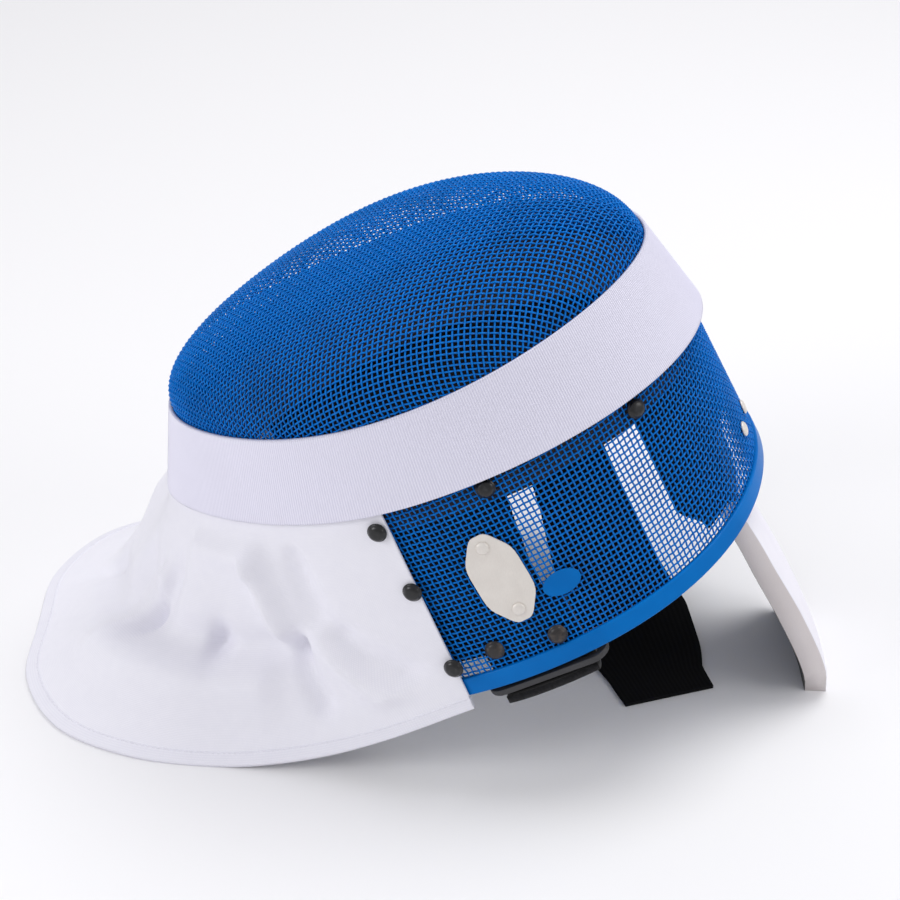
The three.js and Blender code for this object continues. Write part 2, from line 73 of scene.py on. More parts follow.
def setStudio():
    scene = bpy.context.scene
    camera = linked("camera", bpy.data.cameras.new("camera"))
    turn, lift = math.radians(studio["turn"]), math.radians(studio["lift"])
    back = Vector((math.sin(turn) * math.cos(lift), -math.cos(turn) * math.cos(lift), math.sin(lift)))
    camera.location = Vector(studio["aim"]) + back * studio["away"]
    aimAt(camera, studio["aim"])
    camera.data.lens = studio["lens"]
    camera.data.sensor_width = 36.0
    scene.camera = camera
    for name, place, target, size, power in softLights:
        lamp = bpy.data.lights.new(name, "AREA")
        lamp.shape, lamp.size, lamp.energy = "DISK", size, power
        lampObject = linked(name, lamp)
        lampObject.location = place
        aimAt(lampObject, target)
    scene.view_settings.view_transform = "Standard"
    world = bpy.data.worlds.new("studioAir")
    world.use_nodes = True
    air = world.node_tree.nodes["Background"]
    air.inputs["Color"].default_value = (*studio["sky"], 1)
    air.inputs["Strength"].default_value = studio["skyPower"]
    scene.world = world
    half = studio["floor"] / 2
    mesh = bpy.data.meshes.new("floor")
    corners = [(-half, -half, 0), (half, -half, 0), (half, half, 0), (-half, half, 0)]
    mesh.from_pydata(corners, [], [(0, 1, 2, 3)])
    floor = linked("floor", mesh)
    paper = Finish("floorPaper", {"Roughness": 0.95, "Specular IOR Level": 0.2})
    paper.shader.inputs["Base Color"].default_value = (*studio["floorPaint"], 1)
    mesh.materials.append(paper.material)


# node writing

class Value:
    # a socket that takes part in Python sums
    def __init__(self, bench, node, output=0):
        self.bench, self.node = bench, node
        self.socket = node.outputs[output] if len(node.outputs) else None

    def maths(self, operation, first, second):
        return self.bench.add("ShaderNodeMath", {"operation": operation}, {0: first, 1: second})

    def __add__(self, other):
        return self.maths("ADD", self, other)

    def __sub__(self, other):
        return self.maths("SUBTRACT", self, other)

    def __rsub__(self, other):
        return self.maths("SUBTRACT", other, self)

    def __mul__(self, other):
        return self.maths("MULTIPLY", self, other)

    def __truediv__(self, other):
        return self.maths("DIVIDE", self, other)

    def __pow__(self, other):
        return self.maths("POWER", self, other)

    __radd__ = __add__
    __rmul__ = __mul__

    def sine(self):
        return self.maths("SINE", self, 0.0)

    def part(self, output):
        return Value(self.bench, self.node, output)


class Bench:
    # writes nodes into one tree
    def __init__(self, tree):
        self.tree = tree

    def add(self, kind, settings, sockets, output=0):
        node = self.tree.nodes.new(kind)
        for name, setting in settings.items():
            setattr(node, name, setting)
        for name, given in sockets.items():
            if isinstance(given, Value):
                self.tree.links.new(given.socket, node.inputs[name])
            else:
                node.inputs[name].default_value = given
        return Value(self, node, output)


class Finish(Bench):
    # one procedural material on a Principled shader
    def __init__(self, name, fixed):
        self.material = bpy.data.materials.new(name)
        self.material.use_nodes = True
        super().__init__(self.material.node_tree)
        self.shader = self.tree.nodes["Principled BSDF"]
        for socket, value in fixed.items():
            self.shader.inputs[socket].default_value = value

    def onObject(self):
        return self.add("ShaderNodeTexCoord", {}, {}, "Object")

    def onCloth(self):
        return self.add("ShaderNodeUVMap", {"uv_map": "cloth"}, {})

    def noise(self, where, scale, detail):
        return self.add("ShaderNodeTexNoise", {}, {"Vector": where, "Scale": scale, "Detail": detail}, "Fac")

    def mixPaint(self, share, first, second):
        return self.add("ShaderNodeMix", {"data_type": "RGBA"}, {0: share, 6: first, 7: second}, 2)

    def colour(self, share, dark, light):
        self.paint("Base Color", self.mixPaint(share, shade(*dark), shade(*light)))

    def paint(self, socket, value):
        self.tree.links.new(value.socket, self.shader.inputs[socket])

    def bump(self, height, distance, strength=1.0):
        raised = self.add("ShaderNodeBump", {}, {
            "Height": height, "Distance": distance * mm, "Strength": strength})
        self.paint("Normal", raised)

    def ramp(self, value, low, high):
        # 0 below low, 1 above high
        return self.add("ShaderNodeMapRange", {"interpolation_type": "SMOOTHSTEP"}, {
            "Value": value, "From Min": low, "From Max": high})


def shade(red, green, blue):
    # screen colour, 0 to 255, as a linear socket colour
    line = [((c / 255 + 0.055) / 1.055) ** 2.4 if c > 10 else c / 255 / 12.92 for c in (red, green, blue)]
    return (*line, 1.0)


# shared shape helpers

def mix(first, second, share):
    return first + (second - first) * share


def smooth(start, end, value):
    share = np.clip((value - start) / (end - start), 0, 1)
    return share * share * (3 - 2 * share)


def unit(vectors):
    return vectors / np.maximum(np.linalg.norm(vectors, axis=-1, keepdims=True), 1e-9)


def splinePoints(points, shares):
    # centripetal Catmull-Rom line through the points
    points = np.asarray(points, float)
    padded = np.vstack([2 * points[0] - points[1], points, 2 * points[-1] - points[-2]])
    along = np.clip(np.asarray(shares, float), 0, 1) * (len(points) - 1)
    first = np.minimum(along.astype(int), len(points) - 2)
    share = (along - first)[..., None]
    p0, p1, p2, p3 = (padded[first + k] for k in range(4))
    spans = (p1 - p0, p2 - p1, p3 - p2)
    d01, d12, d23 = (np.linalg.norm(span, axis=-1, keepdims=True) ** 0.5 for span in spans)
    leave = ((p1 - p0) / d01 - (p2 - p0) / (d01 + d12) + (p2 - p1) / d12) * d12
    arrive = ((p2 - p1) / d12 - (p3 - p1) / (d12 + d23) + (p3 - p2) / d23) * d12
    cubic = 2 * p1 - 2 * p2 + leave + arrive
    square = -3 * p1 + 3 * p2 - 2 * leave - arrive
    return ((cubic * share + square) * share + leave) * share + p1


def lineDirection(points, shares):
    step = 1e-3
    return unit(splinePoints(points, shares + step) - splinePoints(points, shares - step))


def newPiece(name, points, faces, material=None, cloth=None):
    # points in mm; cloth is one (u, v) per face corner
    mesh = bpy.data.meshes.new(name)
    mesh.from_pydata((np.asarray(points, float).reshape(-1, 3) * mm).tolist(), [], faces)
    if cloth is not None:
        layer = mesh.uv_layers.new(name="cloth")
        layer.data.foreach_set("uv", np.asarray(cloth, np.float32).ravel())
    if faces:
        mesh.polygons.foreach_set("use_smooth", np.ones(len(mesh.polygons), bool))
    if material:
        mesh.materials.append(material)
    return linked(name, mesh)


def finishPiece(piece, slot, *nodes):
    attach(piece, "root")
    if nodes:
        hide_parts(*nodes)
    return piece


def sweepFaces(acrossCount, loopCount, isRing):
    # faces of a closed loop of points swept through acrossCount places, with its ends closed
    faces, corners = [], []
    last = acrossCount if isRing else acrossCount - 1
    for i in range(last):
        j = (i + 1) % acrossCount
        for k in range(loopCount):
            n = (k + 1) % loopCount
            faces.append((i * loopCount + k, j * loopCount + k, j * loopCount + n, i * loopCount + n))
            corners += [(i, k), (i + 1, k), (i + 1, k + 1), (i, k + 1)]
    for i, facing in ((0, 1), (acrossCount - 1, -1)):
        if isRing:
            break
        for k in range(loopCount // 2 - 1):
            loop = [(i, k), (i, k + 1), (i, loopCount - 2 - k), (i, loopCount - 1 - k)][::facing]
            faces.append(tuple(a * loopCount + b for a, b in loop))
            corners += loop
    return faces, corners


def sweptPiece(name, grid, material, acrossLength, aroundLength, isRing=False):
    # grid[i, k]: point k of the closed section at place i. The cloth map runs in mm.
    acrossCount, loopCount = grid.shape[:2]
    faces, corners = sweepFaces(acrossCount, loopCount, isRing)
    steps = acrossCount if isRing else acrossCount - 1
    laid = [(a * acrossLength / steps, b * aroundLength / loopCount) for a, b in corners]
    return newPiece(name, grid, faces, material, laid)


def roundedSection(halfLong, halfThick, radius, rows):
    # closed loop of (along, out) points that starts at the lower edge and runs up the outer side
    turns = np.radians([15, 45, 75])
    low = np.stack([-halfLong + radius * (1 - np.cos(turns)), halfThick - radius + radius * np.sin(turns)], -1)
    flat = np.linspace(-halfLong + radius, halfLong - radius, rows + 1)
    flat = np.stack([flat, np.full(rows + 1, halfThick)], -1)
    high = low[::-1] * (-1, 1)
    outer = np.vstack([low, flat, high])
    return np.vstack([outer, outer[::-1] * (1, -1)])


# the wall of the head, as in the frame

middleShift = 2.85  # brings the origin under the middle of the length
wall = {
    "tilt": 27.0, "crownRim": (183.5 - middleShift, 0.0, 131.0),
    "rings": [
        {"crown": (0, 0), "chin": (-310, 0), "widest": -135, "half": 119,
         "crownPinch": -0.12, "chinPinch": 0.2},
        {"crown": (4, 99), "chin": (-294, 121), "widest": -144, "half": 96.5,
         "crownPinch": 0.02, "chinPinch": 0.33},
        {"crown": (0, 151.6), "chin": (-270, 168), "widest": -135, "half": 96,
         "crownPinch": 0.17, "chinPinch": 0.25},
    ],
    "apexX": -97, "apexBase": 160, "rise": 47, "fullness": 0.8,
    "rimHeight": 10.0, "meshJoint": 1.52, "sideEnd": 114.0,
}


def ringPoints(ring, angle):
    along = np.cos(angle)
    toCrown = ring["crown"][0] - ring["widest"]
    toChin = ring["widest"] - ring["chin"][0]
    pinch = np.where(along > 0, ring["crownPinch"], ring["chinPinch"])
    x = ring["widest"] + np.where(along > 0, toCrown, toChin) * along
    y = ring["half"] * np.sin(angle) * (1 - pinch * along * along)
    share = (x - ring["chin"][0]) / (ring["crown"][0] - ring["chin"][0])
    return np.stack([x, y, mix(ring["chin"][1], ring["crown"][1], share)], -1)


def wallBase(angle, level):
    angle, level = np.broadcast_arrays(np.asarray(angle, float), np.asarray(level, float))
    rim, lower, upper = (ringPoints(ring, angle) for ring in wall["rings"])
    share = level[..., None]
    below = np.where(share < 1, mix(rim, lower, share), mix(lower, upper, share - 1))
    climb = np.clip(level - 2, 0, 1) * math.pi / 2
    spread = np.maximum(np.cos(climb), 0) ** wall["fullness"]
    dome = np.stack([
        wall["apexX"] + (upper[..., 0] - wall["apexX"]) * spread,
        upper[..., 1] * spread,
        upper[..., 2] * spread + wall["apexBase"] * (1 - spread) + wall["rise"] * np.sin(climb)], -1)
    return np.where(share <= 2, below, dome)


def wallNormal(angle, level):
    step = 0.01
    low = np.minimum(level, 3 - 2 * step)
    around = wallBase(angle + step, low) - wallBase(angle - step, low)
    up = wallBase(angle, low + step) - wallBase(angle, low - step)
    return unit(np.cross(around, up))


def wallPoint(angle, level, out):
    return wallBase(angle, level) + wallNormal(angle, level) * np.asarray(out, float)[..., None]


def wallHeight(angle):
    return np.linalg.norm(wallBase(angle, 0.0) - wallBase(angle, 1.0), axis=-1)


def toFloor(points, isDirection=False):
    tilt = math.radians(wall["tilt"])
    x, y, z = points[..., 0], points[..., 1], points[..., 2]
    turned = np.stack([x * math.cos(tilt) - z * math.sin(tilt), y, x * math.sin(tilt) + z * math.cos(tilt)], -1)
    return turned if isDirection else turned + np.array(wall["crownRim"])


# finishes

def wireFinish():
    finish = Finish("blueWire", {"Specular IOR Level": 0.1, "Coat Roughness": 0.12})
    where = finish.onObject()
    mottle = finish.noise(where, 900, 3)
    broad = finish.noise(where, 35, 2)
    paint = finish.mixPaint(finish.ramp(mottle, 0.35, 0.7), shade(0, 107, 195), shade(2, 122, 214))
    finish.paint("Base Color", finish.mixPaint(finish.ramp(broad, 0.45, 0.75) * 0.35, paint, shade(0, 90, 165)))
    finish.paint("Roughness", 0.3 + mottle * 0.18)
    finish.paint("Coat Weight", 0.02 + broad * 0.05)
    finish.bump(finish.noise(where, 1800, 2), 0.04, 0.5)
    return finish.material


def enamelFinish():
    finish = Finish("blueEnamel", {"Specular IOR Level": 0.08, "Coat Roughness": 0.1})
    where = finish.onObject()
    broad = finish.noise(where, 22, 3)
    fine = finish.noise(where, 700, 3)
    finish.colour(finish.ramp(broad, 0.35, 0.7), (0, 102, 180), (1, 112, 194))
    finish.paint("Roughness", 0.3 + fine * 0.14)
    finish.paint("Coat Weight", 0.02 + broad * 0.05)
    finish.bump(finish.noise(where, 420, 3), 0.05, 0.6)
    return finish.material


def ribbedFinish(ribPitch):
    finish = Finish("ribbedCloth", {"Specular IOR Level": 0.25, "Sheen Weight": 0.2, "Sheen Roughness": 0.5})
    where = finish.onCloth()
    run = finish.add("ShaderNodeSeparateXYZ", {}, {0: where})
    ribs = (run.part(0) * (2 * math.pi / ribPitch)).sine() * 0.5 + 0.5
    picks = (run.part(1) * (2 * math.pi / 0.6)).sine() * 0.5 + 0.5
    soil = finish.noise(finish.onObject(), 28, 4)
    # rib tops lighter, grooves darker: painted shade in the grooves between the ribs, on top of the real ribs and
    # bump
    threadWithGrooveShade = finish.mixPaint(ribs, shade(214, 212, 230), shade(238, 236, 250))
    finish.paint("Base Color", finish.mixPaint(finish.ramp(soil, 0.4, 0.8) * 0.25, threadWithGrooveShade, shade(222, 220, 234)))
    finish.paint("Roughness", 0.95 - ribs * 0.12)
    finish.bump(ribs * 0.75 + picks * 0.25, 0.16, 0.8)
    return finish.material


def bibFinish(name="bibCloth", light=(245, 244, 250), dark=(233, 232, 241)):
    finish = Finish(name, {"Specular IOR Level": 0.2, "Sheen Weight": 0.25, "Sheen Roughness": 0.4})
    where = finish.onCloth()
    run = finish.add("ShaderNodeSeparateXYZ", {}, {0: where})
    warp = (run.part(0) * (2 * math.pi / 0.8)).sine() * 0.5 + 0.5
    weft = (run.part(1) * (2 * math.pi / 0.8)).sine() * 0.5 + 0.5
    weave = warp * weft
    slub = finish.noise(finish.onObject(), 160, 4)
    cloud = finish.noise(finish.onObject(), 18, 3)
    base = finish.mixPaint(weave * 0.6 + slub * 0.4, shade(*dark), shade(*light))
    finish.paint("Base Color", finish.mixPaint(finish.ramp(cloud, 0.45, 0.8) * 0.2, base, shade(*dark)))
    finish.paint("Roughness", 0.96 - weave * 0.1)
    finish.bump(weave * 0.7 + slub * 0.3, 0.1, 0.7)
    return finish.material


def blackFinish(name, light=(34, 34, 37), dark=(14, 14, 16), grain=700, deep=0.35):
    finish = Finish(name, {"Specular IOR Level": 0.2, "Sheen Weight": 0.15, "Sheen Roughness": 0.5})
    where = finish.onObject()
    fuzz = finish.noise(where, grain, 4)
    broad = finish.noise(where, 40, 3)
    paint = finish.mixPaint(finish.ramp(fuzz, 0.3, 0.75), shade(*dark), shade(*light))
    finish.paint("Base Color", finish.mixPaint(broad * 0.4, paint, shade(*dark)))
    finish.paint("Roughness", 1.0 - fuzz * 0.12)
    finish.bump(fuzz, deep, 0.8)
    return finish.material


def webbingFinish():
    finish = Finish("strapWebbing", {"Specular IOR Level": 0.15})
    where = finish.onCloth()
    run = finish.add("ShaderNodeSeparateXYZ", {}, {0: where})
    across = (run.part(1) * (2 * math.pi / 1.6)).sine() * 0.5 + 0.5
    along = (run.part(0) * (2 * math.pi / 1.1)).sine() * 0.5 + 0.5
    weave = across * along
    fuzz = finish.noise(finish.onObject(), 900, 3)
    finish.colour(weave * 0.6 + fuzz * 0.4, (6, 6, 8), (16, 16, 19))
    finish.paint("Roughness", 0.9 - weave * 0.2)
    finish.bump(weave * 0.3 + fuzz * 0.7, 0.03, 0.4)
    return finish.material


def leatherFinish(name, light, dark):
    finish = Finish(name, {"Specular IOR Level": 0.35})
    where = finish.onObject()
    cells = finish.add("ShaderNodeTexVoronoi", {"feature": "DISTANCE_TO_EDGE"}, {"Vector": where, "Scale": 900})
    grain = finish.ramp(cells, 0.0, 0.25)
    cloud = finish.noise(where, 30, 4)
    paint = finish.mixPaint(cloud, shade(*dark), shade(*light))
    finish.paint("Base Color", finish.mixPaint(0.12 - grain * 0.12, paint, shade(*dark)))
    finish.paint("Roughness", 0.55 + cloud * 0.2)
    finish.bump(grain, 0.06, 0.5)
    return finish.material


def snapFinish(name, light, dark, rough):
    finish = Finish(name, {
        "Metallic": 0.25, "Specular IOR Level": 0.5, "Coat Weight": 0.25, "Coat Roughness": 0.15})
    where = finish.onObject()
    fine = finish.noise(where, 1200, 3)
    worn = finish.noise(where, 260, 3)
    finish.colour(finish.ramp(worn, 0.5, 0.75), dark, light)
    finish.paint("Roughness", rough + fine * 0.15)
    finish.bump(fine, 0.03, 0.4)
    return finish.material


def metalFinish(name, light, dark, rough):
    finish = Finish(name, {"Specular IOR Level": 0.5})
    where = finish.onObject()
    stretched = finish.add("ShaderNodeMapping", {}, {"Vector": where, "Scale": (1, 1, 0.08)})
    brushed = finish.noise(stretched, 2600, 3)
    dull = finish.noise(where, 120, 4)
    finish.colour(brushed * 0.5 + dull * 0.5, dark, light)
    finish.paint("Metallic", 0.4 - dull * 0.2)
    finish.paint("Roughness", rough + brushed * 0.15)
    finish.bump(brushed, 0.02, 0.4)
    return finish.material


def plasticFinish():
    finish = Finish("greyPlastic", {"Specular IOR Level": 0.45})
    where = finish.onObject()
    fine = finish.noise(where, 900, 3)
    broad = finish.noise(where, 90, 3)
    finish.colour(broad, (44, 44, 47), (62, 62, 65))
    finish.paint("Roughness", 0.42 + fine * 0.2)
    finish.bump(fine, 0.05, 0.5)
    return finish.material


# Geometry Nodes

def startTree(name, sizes):
    tree = bpy.data.node_groups.new(name, "GeometryNodeTree")
    tree.interface.new_socket("Geometry", in_out="INPUT", socket_type="NodeSocketGeometry")
    for label, value in sizes.items():
        kind = "NodeSocketInt" if isinstance(value, int) else "NodeSocketFloat"
        tree.interface.new_socket(label, in_out="INPUT", socket_type=kind).default_value = value
    tree.interface.new_socket("Geometry", in_out="OUTPUT", socket_type="NodeSocketGeometry")
    bench = Bench(tree)
    given = bench.add("NodeGroupInput", {}, {})
    return tree, bench, given


def endTree(bench, shape, material):
    real = bench.add("GeometryNodeRealizeInstances", {}, {"Geometry": shape})
    smoothed = bench.add("GeometryNodeSetShadeSmooth", {}, {"Geometry": real})
    painted = bench.add("GeometryNodeSetMaterial", {}, {"Geometry": smoothed, "Material": material})
    bench.add("NodeGroupOutput", {}, {0: painted})


def growPiece(piece, tree, sizes):
    # runs the tree on the piece and keeps the result as its plain mesh
    modifier = piece.modifiers.new("grow", "NODES")
    modifier.node_group = tree
    for item in tree.interface.items_tree:
        if item.in_out == "INPUT" and item.name in sizes:
            modifier[item.identifier] = sizes[item.name]
    bpy.context.view_layer.update()
    made = piece.evaluated_get(bpy.context.evaluated_depsgraph_get())
    mesh = bpy.data.meshes.new_from_object(made)
    piece.modifiers.clear()
    piece.data = mesh


def attributeNode(bench, name, kind="FLOAT"):
    return bench.add("GeometryNodeInputNamedAttribute", {"data_type": kind}, {"Name": name})


def wireTree(material):
    # each chain of edges becomes one wire, lifted over and under the wires that it crosses
    tree, bench, given = startTree("wireWeave", {"Wire radius": 0.5 * mm, "Weave lift": 0.5 * mm, "Sides": 5})
    outward = attributeNode(bench, "outward", "FLOAT_VECTOR")
    lift = attributeNode(bench, "weave") * given.part("Weave lift")
    offset = bench.add("ShaderNodeVectorMath", {"operation": "SCALE"}, {0: outward, "Scale": lift})
    moved = bench.add("GeometryNodeSetPosition", {}, {"Geometry": given.part("Geometry"), "Offset": offset})
    lines = bench.add("GeometryNodeMeshToCurve", {}, {"Mesh": moved})
    profile = bench.add("GeometryNodeCurvePrimitiveCircle", {}, {
        "Resolution": given.part("Sides"), "Radius": given.part("Wire radius")})
    wires = bench.add("GeometryNodeCurveToMesh", {}, {"Curve": lines, "Profile Curve": profile, "Fill Caps": True})
    endTree(bench, wires, material)
    return tree


def stitchTree(material):
    # oval stitches laid along each chain of edges
    tree, bench, given = startTree("stitchRow", {"Pitch": 3.0 * mm, "Length": 2.2 * mm, "Width": 0.6 * mm})
    lines = bench.add("GeometryNodeMeshToCurve", {}, {"Mesh": given.part("Geometry")})
    points = bench.add("GeometryNodeCurveToPoints", {"mode": "LENGTH"}, {
        "Curve": lines, "Length": given.part("Pitch")})
    outward = attributeNode(bench, "outward", "FLOAT_VECTOR")
    alongLine = bench.add("FunctionNodeAlignRotationToVector", {"axis": "X"}, {"Vector": points.part("Tangent")})
    upright = bench.add("FunctionNodeAlignRotationToVector", {"axis": "Z", "pivot_axis": "X"}, {
        "Rotation": alongLine, "Vector": outward})
    size = bench.add("ShaderNodeCombineXYZ", {}, {
        0: given.part("Length") * 0.5, 1: given.part("Width") * 0.5, 2: given.part("Width") * 0.4})
    bead = bench.add("GeometryNodeMeshUVSphere", {}, {"Segments": 6, "Rings": 5, "Radius": 1.0})
    placed = bench.add("GeometryNodeInstanceOnPoints", {}, {
        "Points": points, "Instance": bead, "Rotation": upright, "Scale": size})
    endTree(bench, placed, material)
    return tree


def fastenerTree(template, material):
    # one turned head at each point, standing along its outward direction
    tree, bench, given = startTree("fastenerHeads", {"Size": 1.0})
    outward = attributeNode(bench, "outward", "FLOAT_VECTOR")
    upright = bench.add("FunctionNodeAlignRotationToVector", {"axis": "Z"}, {"Vector": outward})
    head = bench.add("GeometryNodeObjectInfo", {}, {"Object": template}, "Geometry")
    placed = bench.add("GeometryNodeInstanceOnPoints", {}, {
        "Points": given.part("Geometry"), "Instance": head, "Rotation": upright, "Scale": given.part("Size")})
    endTree(bench, placed, material)
    return tree


def chainPiece(name, chains, attributes):
    # chains of points in mm joined by edges; each attribute is one list of values per chain
    points = np.vstack(chains) * mm
    edges, first = [], 0
    for chain in chains:
        edges += [(first + k, first + k + 1) for k in range(len(chain) - 1)]
        first += len(chain)
    mesh = bpy.data.meshes.new(name)
    mesh.from_pydata(points.tolist(), edges, [])
    for label, lists in attributes.items():
        values = np.concatenate([np.asarray(v, np.float32) for v in lists])
        if values.ndim == 2:
            mesh.attributes.new(label, "FLOAT_VECTOR", "POINT").data.foreach_set("vector", values.ravel())
        else:
            mesh.attributes.new(label, "FLOAT", "POINT").data.foreach_set("value", values)
    return linked(name, mesh)


def lathedHead(name, profile, sides):
    # closed head turned from (radius, height) places, foot first
    profile = np.asarray(profile, float)
    turns = np.linspace(0, 2 * math.pi, sides, endpoint=False)
    points = [(0, 0, profile[0][1])]
    for radius, height in profile:
        points += [(radius * math.cos(t), radius * math.sin(t), height) for t in turns]
    points.append((0, 0, profile[-1][1]))
    faces = [(0, 1 + (k + 1) % sides, 1 + k) for k in range(sides)]
    for row in range(len(profile) - 1):
        a, b = 1 + row * sides, 1 + (row + 1) * sides
        faces += [(a + k, a + (k + 1) % sides, b + (k + 1) % sides, b + k) for k in range(sides)]
    top = len(points) - 1
    faces += [(top - sides + k, top - sides + (k + 1) % sides, top) for k in range(sides)]
    return newPiece(name, points, faces)


# woven wire

wire = {"pitch": 3.0, "radius": 0.5, "lift": 0.5, "depth": 1.0, "sides": 5, "halfCount": 76}


def diskWall(spot):
    # angle and level for a place in the flat plan of the face: 1 from the middle is the trim's upper ring
    reach = np.hypot(spot[..., 0], spot[..., 1])
    level = np.where(reach < 1, 3 - reach ** 1.25, 2 - (reach - 1) * 1.25)
    return np.arctan2(spot[..., 1], spot[..., 0]), level


def netPoint(spot):
    return wallBase(*diskWall(spot))


def walkLine(start, direction, count):
    # equal steps along one line of the plan
    spots = [start]
    for _ in range(count):
        here = netPoint(spots[-1])
        low, high = 0.0, 0.12
        for _ in range(24):
            middle = (low + high) / 2
            if np.linalg.norm(netPoint(spots[-1] + direction * middle) - here) < wire["pitch"]:
                low = middle
            else:
                high = middle
        spots.append(spots[-1] + direction * high)
    return np.array(spots)


def faceNet(half):
    # a net of equal cells, as flat woven wire takes when it is pressed to the dome
    size = 2 * half + 1
    spots = np.full((size, size, 2), np.nan)
    middle = np.zeros(2)
    for sign in (1, -1):
        spots[half::sign, half] = walkLine(middle, np.array([sign, 0.0]), half)
        spots[half, half::sign] = walkLine(middle, np.array([0.0, sign]), half)
    for sideX in (1, -1):
        for sideY in (1, -1):
            for ring in range(2, 2 * half + 1):
                steps = np.arange(max(1, ring - half), min(half, ring - 1) + 1)
                i, j = half + sideX * steps, half + sideY * (ring - steps)
                first, second = spots[i - sideX, j], spots[i, j - sideY]
                guess = first + second - spots[i - sideX, j - sideY]
                good = np.isfinite(guess).all(-1) & (np.hypot(guess[:, 0], guess[:, 1]) < 1.45)
                if not good.any():
                    continue
                i, j, first, second, guess = i[good], j[good], first[good], second[good], guess[good]
                fromFirst, fromSecond = netPoint(first), netPoint(second)

                def misses(spot):
                    here = netPoint(spot)
                    reaches = [np.linalg.norm(here - known, axis=-1) for known in (fromFirst, fromSecond)]
                    return np.stack(reaches, -1) - wire["pitch"]

                for _ in range(6):
                    miss = misses(guess)
                    step = 1e-4
                    alongX = (misses(guess + (step, 0)) - miss) / step
                    alongY = (misses(guess + (0, step)) - miss) / step
                    det = alongX[:, 0] * alongY[:, 1] - alongX[:, 1] * alongY[:, 0]
                    det = np.where(np.abs(det) < 1e-3, 1e-3, det)
                    moveX = (-miss[:, 0] * alongY[:, 1] + miss[:, 1] * alongY[:, 0]) / det
                    moveY = (-miss[:, 1] * alongX[:, 0] + miss[:, 0] * alongX[:, 1]) / det
                    guess = guess + np.clip(np.stack([moveX, moveY], -1), -0.03, 0.03)
                spots[i, j] = guess
    return spots


def layWires(name, angles, levels, keep, parity, tree):
    # one wire down each row of a lattice, with a point at each crossing and one between
    chains, normals, weaves = [], [], []
    for row in range(angles.shape[0]):
        kept = np.flatnonzero(keep[row])
        if len(kept) < 3:
            continue
        for run in np.split(kept, np.flatnonzero(np.diff(kept) > 1) + 1):
            if len(run) < 3:
                continue
            angle, level = np.unwrap(angles[row, run]), levels[row, run]
            crossing = wallPoint(angle, level, np.full(len(run), -wire["depth"]))
            between = (crossing[1:] + crossing[:-1]) / 2
            line = np.empty((2 * len(run) - 1, 3))
            line[::2], line[1::2] = crossing, between
            normal = wallNormal(angle, level)
            outward = np.empty_like(line)
            outward[::2], outward[1::2] = normal, unit(normal[1:] + normal[:-1])
            weave = np.zeros(len(line))
            weave[::2] = np.where((run + row + parity) % 2 == 0, 1.0, -1.0)
            chains.append(toFloor(line))
            normals.append(toFloor(outward, True))
            weaves.append(weave)
    piece = chainPiece(name, chains, {"outward": normals, "weave": weaves})
    growPiece(piece, tree, {
        "Wire radius": wire["radius"] * mm, "Weave lift": wire["lift"] * mm, "Sides": wire["sides"]})
    return piece


def makeFaceMesh(tree):
    spots = faceNet(wire["halfCount"])
    known = np.isfinite(spots).all(-1)
    angles, levels = diskWall(np.where(known[..., None], spots, 2.0))
    keep = known & (levels > wall["meshJoint"])
    lengthwise = layWires("faceWiresLengthwise", angles.T, levels.T, keep.T, 0, tree)
    crosswise = layWires("faceWiresCrosswise", angles, levels, keep, 1, tree)
    finishPiece(lengthwise, "blue_wire", "face_mesh")
    finishPiece(crosswise, "blue_wire", "face_mesh")


def makeSideMesh(tree):
    # rows run level with the rim, and columns climb from it to behind the trim
    end = math.radians(wall["sideEnd"])
    sampled = np.linspace(-end, end, 2001)
    middle = wallBase(sampled, np.full(2001, 0.6))
    arc = np.concatenate([[0], np.cumsum(np.linalg.norm(np.diff(middle, axis=0), axis=-1))])
    columnCount = int(arc[-1] / wire["pitch"])
    columnAngles = np.interp(np.linspace(0, arc[-1], columnCount + 1), arc, sampled)
    low, high = wall["rimHeight"] - 4, 150.0
    rows = np.arange(low, high, wire["pitch"])
    angles, heights = np.meshgrid(columnAngles, rows, indexing="ij")
    ringHeight = wallHeight(angles)
    trimHeight = np.linalg.norm(wallBase(angles, 1.0) - wallBase(angles, 2.0), axis=-1)
    levels = np.where(heights < ringHeight, heights / ringHeight, 1 + (heights - ringHeight) / trimHeight)
    keep = levels < wall["meshJoint"]
    columns = layWires("sideWiresUpright", angles, levels, keep, 0, tree)
    level = layWires("sideWiresLevel", angles.T, levels.T, keep.T, 1, tree)
    finishPiece(columns, "blue_wire", "side_mesh")
    finishPiece(level, "blue_wire", "side_mesh")


# rim, trim

rimSizes = {"inside": -2.6, "proud": 1.0, "columns": 240}


def makeRim(material):
    end = math.radians(wall["sideEnd"])
    section = roundedSection(wall["rimHeight"] / 2, (rimSizes["proud"] - rimSizes["inside"]) / 2, 0.9, 4)
    angle = np.linspace(-end, end, rimSizes["columns"] + 1)[:, None]
    height = section[None, :, 0] + wall["rimHeight"] / 2
    out = section[None, :, 1] + (rimSizes["proud"] + rimSizes["inside"]) / 2
    level = height / wallHeight(angle)
    grid = toFloor(wallPoint(angle + 0 * height, level, out + 0 * angle))
    piece = sweptPiece("rimBand", grid, material, 560, 36)
    finishPiece(piece, "blue_enamel", "rim_band")


trimSizes = {"lowerLift": 3.8, "upperLift": 0.2, "wall": 1.7, "ribs": 640, "ribDepth": 0.09, "around": 700.0}


